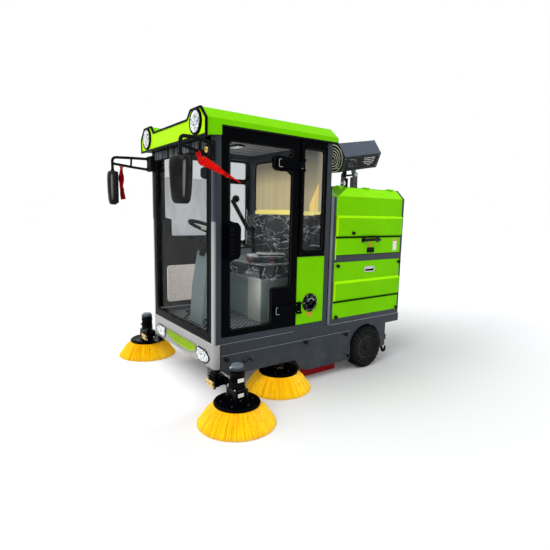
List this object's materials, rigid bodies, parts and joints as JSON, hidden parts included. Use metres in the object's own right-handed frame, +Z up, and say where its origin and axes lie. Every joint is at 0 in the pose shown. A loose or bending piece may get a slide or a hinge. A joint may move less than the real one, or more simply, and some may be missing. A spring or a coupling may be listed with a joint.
{
  "type": "ride-on floor sweeper",
  "caption": "Ride-on electric sweeper with a closed cab, side brushes, roller brush, rear hopper under a body box and a tilting mist cannon.",
  "frame": {"origin": "on the floor, at the middle of the whole machine's box", "axes": "+Z up, +X to the vehicle's left, +Y to its rear, so it drives towards -Y"},
  "size_m": [2.208, 2.4747, 2.1396],
  "materials": {
    "green_paint": "gloss, lime green",
    "green_moulding": "glossy lime green moulding",
    "grey_paint": "satin, dark slate grey",
    "light_grey_paint": "satin, light grey",
    "black_paint": "gloss black",
    "clear_glass": "lightly tinted",
    "lamp_glass": "clear lens",
    "tail_glass": "red lens",
    "black_plastic": "moulded",
    "grille_paint": "yellow green",
    "cab_grey": "grey green hammered paint",
    "seat_vinyl": "black vinyl",
    "bristle_yellow": "yellow bristles",
    "tyre_rubber": "solid tyre",
    "red_rubber": "red flap rubber",
    "red_cloth": "satin ribbon",
    "battery_case": "plain battery block",
    "grille_beige": "beige wire guard"
  },
  "bodies": {
    "chassis": {"chassis_frame": "grey_paint", "front_bumper": "light_grey_paint", "front_grille": "grille_paint", "front_lamps": "lamp_glass", "side_skirts": "grey_paint", "cab_tub": "grey_paint", "cab_frame": "grey_paint", "chassis_brackets": "grey_paint", "filler_cap": "black_plastic", "panel_fittings": "black_plastic", "window_frames": "black_paint", "fixed_glass": "clear_glass", "cab_side_panels": "green_paint", "cab_roof": "green_moulding", "mirrors": "black_plastic", "ribbons": "red_cloth", "console": "cab_grey", "seat_base": "cab_grey", "seat_cushion": "seat_vinyl", "seat_back": "seat_vinyl", "control_lever": "black_plastic", "rear_frame": "grey_paint", "rear_cover": "green_paint", "rear_side_panels": "green_paint", "hopper": "grey_paint", "battery_pack": "battery_case", "tail_lamps": "tail_glass", "mid_brush_drives": "black_plastic", "brush_housing": "grey_paint", "side_flaps": "red_rubber", "cannon_mast": "grey_paint"},
    "door_left": {"door_left": "black_paint", "door_glass_left": "clear_glass"},
    "door_right": {"door_right": "black_paint", "door_glass_right": "clear_glass"},
    "hatch_left": {"hatch_left": "green_paint", "hatch_handle_left": "black_plastic"},
    "hatch_right": {"hatch_right": "green_paint", "hatch_handle_right": "black_plastic"},
    "rear_gate": {"rear_gate": "green_paint"},
    "brush_arm_left": {"brush_arm_left": "black_paint"},
    "brush_arm_right": {"brush_arm_right": "black_paint"},
    "front_brush_left": {"front_brush_left": "bristle_yellow"},
    "front_brush_right": {"front_brush_right": "bristle_yellow"},
    "mid_brush_left": {"mid_brush_left": "bristle_yellow"},
    "mid_brush_right": {"mid_brush_right": "bristle_yellow"},
    "roller_brush": {"roller_brush": "bristle_yellow"},
    "front_fork": {"front_fork": "grey_paint"},
    "front_wheel": {"front_tyre": "tyre_rubber", "front_rim": "black_paint"},
    "rear_wheel_left": {"rear_tyre_left": "tyre_rubber", "rear_rim_left": "black_paint"},
    "rear_wheel_right": {"rear_tyre_right": "tyre_rubber", "rear_rim_right": "black_paint"},
    "steering_wheel": {"steering_wheel": "black_plastic"},
    "mist_cannon": {"mist_cannon": "grey_paint", "cannon_vents": "black_paint", "cannon_grille": "grille_beige"},
    "cannon_fan": {"cannon_fan": "black_plastic"}
  },
  "joints": [
    {"name": "door_left_swing", "type": "hinge", "parent": "chassis", "child": "door_left", "pos_m": [0.598, -0.182, 1.2], "axis": [0, 0, 1], "range_deg": [0, 85]},
    {"name": "hatch_left_lift", "type": "hinge", "parent": "chassis", "child": "hatch_left", "pos_m": [0.503, 0.631, 1.615], "axis": [0, -1, 0], "range_deg": [0, 70]},
    {"name": "brush_arm_left_lift", "type": "hinge", "parent": "chassis", "child": "brush_arm_left", "pos_m": [0.512, -0.884, 0.232], "axis": [0, -1, 0], "range_deg": [0, 14]},
    {"name": "front_brush_left_spin", "type": "hinge", "parent": "brush_arm_left", "child": "front_brush_left", "pos_m": [0.842, -0.883, 0.148], "axis": [0, 0, 1], "continuous": true},
    {"name": "mid_brush_left_spin", "type": "hinge", "parent": "chassis", "child": "mid_brush_left", "pos_m": [0.519, -0.304, 0.148], "axis": [0, 0, 1], "continuous": true},
    {"name": "rear_wheel_left_spin", "type": "hinge", "parent": "chassis", "child": "rear_wheel_left", "pos_m": [0.5495, 0.635, 0.192], "axis": [1, 0, 0], "continuous": true},
    {"name": "door_right_swing", "type": "hinge", "parent": "chassis", "child": "door_right", "pos_m": [-0.598, -0.182, 1.2], "axis": [0, 0, -1], "range_deg": [0, 85]},
    {"name": "hatch_right_lift", "type": "hinge", "parent": "chassis", "child": "hatch_right", "pos_m": [-0.503, 0.631, 1.615], "axis": [0, 1, 0], "range_deg": [0, 70]},
    {"name": "brush_arm_right_lift", "type": "hinge", "parent": "chassis", "child": "brush_arm_right", "pos_m": [-0.512, -0.884, 0.232], "axis": [0, 1, 0], "range_deg": [0, 14]},
    {"name": "front_brush_right_spin", "type": "hinge", "parent": "brush_arm_right", "child": "front_brush_right", "pos_m": [-0.842, -0.883, 0.148], "axis": [0, 0, 1], "continuous": true},
    {"name": "mid_brush_right_spin", "type": "hinge", "parent": "chassis", "child": "mid_brush_right", "pos_m": [-0.519, -0.304, 0.148], "axis": [0, 0, 1], "continuous": true},
    {"name": "rear_wheel_right_spin", "type": "hinge", "parent": "chassis", "child": "rear_wheel_right", "pos_m": [-0.5495, 0.635, 0.192], "axis": [1, 0, 0], "continuous": true},
    {"name": "rear_gate_lift", "type": "hinge", "parent": "chassis", "child": "rear_gate", "pos_m": [0, 1.096, 0.968], "axis": [1, 0, 0], "range_deg": [0, 95]},
    {"name": "roller_spin", "type": "hinge", "parent": "chassis", "child": "roller_brush", "pos_m": [0, 0.17, 0.165], "axis": [1, 0, 0], "continuous": true},
    {"name": "front_steer", "type": "hinge", "parent": "chassis", "child": "front_fork", "pos_m": [0, -0.48, 0.44], "axis": [0, 0, 1], "range_deg": [-50, 50]},
    {"name": "front_wheel_spin", "type": "hinge", "parent": "front_fork", "child": "front_wheel", "pos_m": [0, -0.48, 0.192], "axis": [1, 0, 0], "continuous": true},
    {"name": "steering_wheel_turn", "type": "hinge", "parent": "chassis", "child": "steering_wheel", "pos_m": [0, -0.625, 1.235], "axis": [0, 0.3746, 0.9272], "range_deg": [-305, 305]},
    {"name": "cannon_tilt", "type": "hinge", "parent": "chassis", "child": "mist_cannon", "pos_m": [0, 0.93, 1.775], "axis": [1, 0, 0], "range_deg": [-10, 15]},
    {"name": "cannon_fan_spin", "type": "hinge", "parent": "mist_cannon", "child": "cannon_fan", "pos_m": [0, 0.76348, 1.93016], "axis": [0, 0.9857, 0.1685], "continuous": true}
  ],
  "couplings": [
    {"joint": "steering_wheel_turn", "follows": "front_steer", "ratio": 6}
  ]
}
